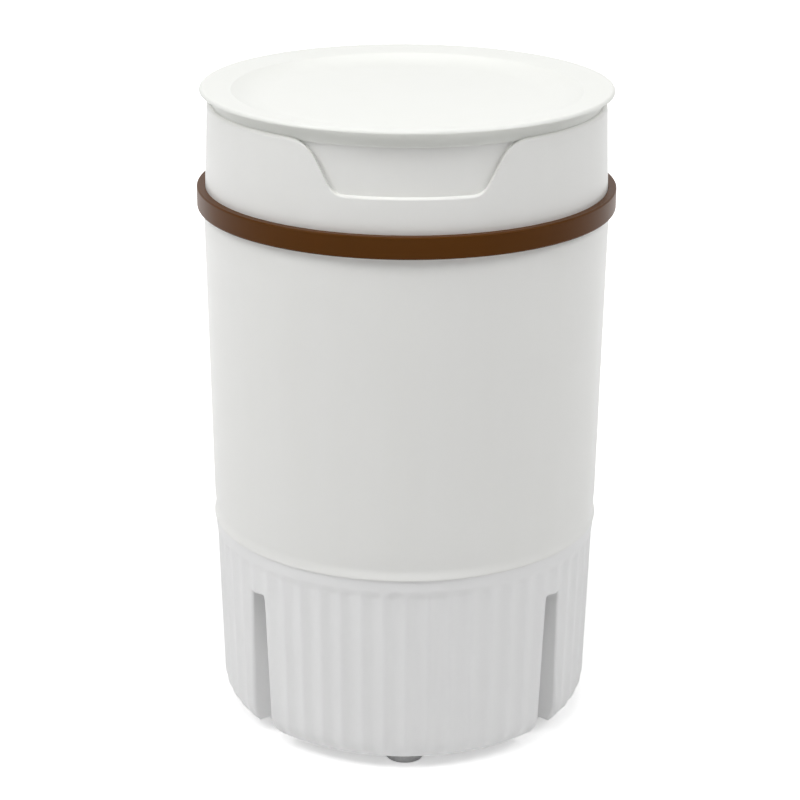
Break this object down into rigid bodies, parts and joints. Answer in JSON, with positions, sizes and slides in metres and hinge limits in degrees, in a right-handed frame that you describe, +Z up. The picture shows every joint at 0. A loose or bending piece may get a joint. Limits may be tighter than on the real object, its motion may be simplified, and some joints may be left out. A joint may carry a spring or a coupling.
{
  "type": "portable washing machine",
  "caption": "Upright round portable washing machine with a lift-off lid, a finger recess in the collar, a brown trim ring, a fluted base and a geared pulsator in the tub.",
  "frame": {"origin": "on the floor under the middle of the tub, level with the bottoms of the feet", "axes": "+Z up along the tub's axis, the front with the finger recess faces -Y, +X to the right seen from the front"},
  "size_m": [0.2554, 0.2554, 0.4045],
  "materials": {
    "lid_white": "smooth moulded plastic, warm white",
    "shell_white": "smooth moulded plastic, white",
    "base_white": "smooth moulded plastic, cool white",
    "ring_brown": "satin moulded plastic, dark brown",
    "foot_grey": "soft moulded rubber, grey",
    "tub_white": "polished moulded plastic, white",
    "pulsator_grey": "smooth moulded plastic, pale grey",
    "gasket_grey": "soft silicone, pale grey",
    "seal_black": "nitrile rubber, black",
    "hose_grey": "flexible hose, grey",
    "screw_steel": "zinc-plated steel",
    "shaft_steel": "ground stainless steel",
    "bush_bronze": "sintered bronze",
    "gear_ivory": "moulded acetal, ivory",
    "gearbox_grey": "glass-filled nylon, grey",
    "motor_steel": "drawn plated steel",
    "part_black": "moulded plastic, black",
    "magnet_dark": "sintered ferrite",
    "armature_copper": "copper windings on a laminated core",
    "board_green": "glass-epoxy board with green resist",
    "plug_white": "moulded nylon, natural",
    "lens_clear": "clear light guide",
    "lead_black": "flexible sleeve over wires, black"
  },
  "bodies": {
    "root": {"base_skirt": "base_white", "access_cover": "base_white", "cover_screws": "screw_steel", "foot_front": "foot_grey", "foot_right": "foot_grey", "foot_rear": "foot_grey", "foot_left": "foot_grey", "foot_screws": "screw_steel", "barrel": "shell_white", "shell_screws": "screw_steel", "trim_ring": "ring_brown", "collar": "shell_white", "wash_tub": "tub_white", "shaft_seal": "seal_black", "upper_bush": "bush_bronze", "lower_bush": "bush_bronze", "idler_pin": "shaft_steel", "gearbox_case": "gearbox_grey", "gearbox_cover": "gearbox_grey", "case_screws": "screw_steel", "gearbox_screws": "screw_steel", "motor_can": "motor_steel", "motor_magnets": "magnet_dark", "motor_end_cap": "part_black", "motor_screws": "screw_steel", "drain_hose": "hose_grey", "hose_clips": "screw_steel", "drain_spout": "shell_white", "spout_nut": "shell_white", "power_inlet": "part_black", "inlet_nut": "screw_steel", "indicator_lens": "lens_clear", "control_board": "board_green", "board_screws": "screw_steel", "tact_switch": "part_black", "board_plug": "plug_white", "motor_lead": "lead_black"},
    "lid": {"lid": "lid_white", "lid_gasket": "gasket_grey"},
    "pulsator": {"pulsator": "pulsator_grey", "pulsator_screw": "screw_steel", "pulsator_cap": "pulsator_grey", "drive_shaft": "shaft_steel", "shaft_clip": "shaft_steel", "output_gear": "gear_ivory"},
    "compound": {"compound_gear": "gear_ivory"},
    "rotor": {"motor_shaft": "shaft_steel", "motor_pinion": "gear_ivory", "armature": "armature_copper"},
    "button": {"power_button": "ring_brown"},
    "stopper": {"drain_stopper": "seal_black"}
  },
  "joints": [
    {"name": "lid_lift", "type": "slide", "parent": "root", "child": "lid", "axis": [0, 0, 1], "range_m": [0, 0.15]},
    {"name": "pulsator_spin", "type": "hinge", "parent": "root", "child": "pulsator", "pos_m": [0, 0, 0.12], "axis": [0, 0, 1], "continuous": true},
    {"name": "compound_spin", "type": "hinge", "parent": "root", "child": "compound", "pos_m": [0.03118, -0.018, 0.109], "axis": [0, 0, 1], "continuous": true},
    {"name": "motor_spin", "type": "hinge", "parent": "root", "child": "rotor", "pos_m": [0, -0.036, 0.07], "axis": [0, 0, 1], "continuous": true},
    {"name": "button_press", "type": "slide", "parent": "root", "child": "button", "axis": [0, -1, 0], "range_m": [0, 0.0015], "stiffness_N_per_m": 500, "springref_m": -0.001},
    {"name": "stopper_pull", "type": "slide", "parent": "root", "child": "stopper", "axis": [0, 1, 0], "range_m": [0, 0.03]}
  ],
  "couplings": [
    {"joint": "compound_spin", "follows": "pulsator_spin", "ratio": -3},
    {"joint": "motor_spin", "follows": "pulsator_spin", "ratio": 9}
  ]
}
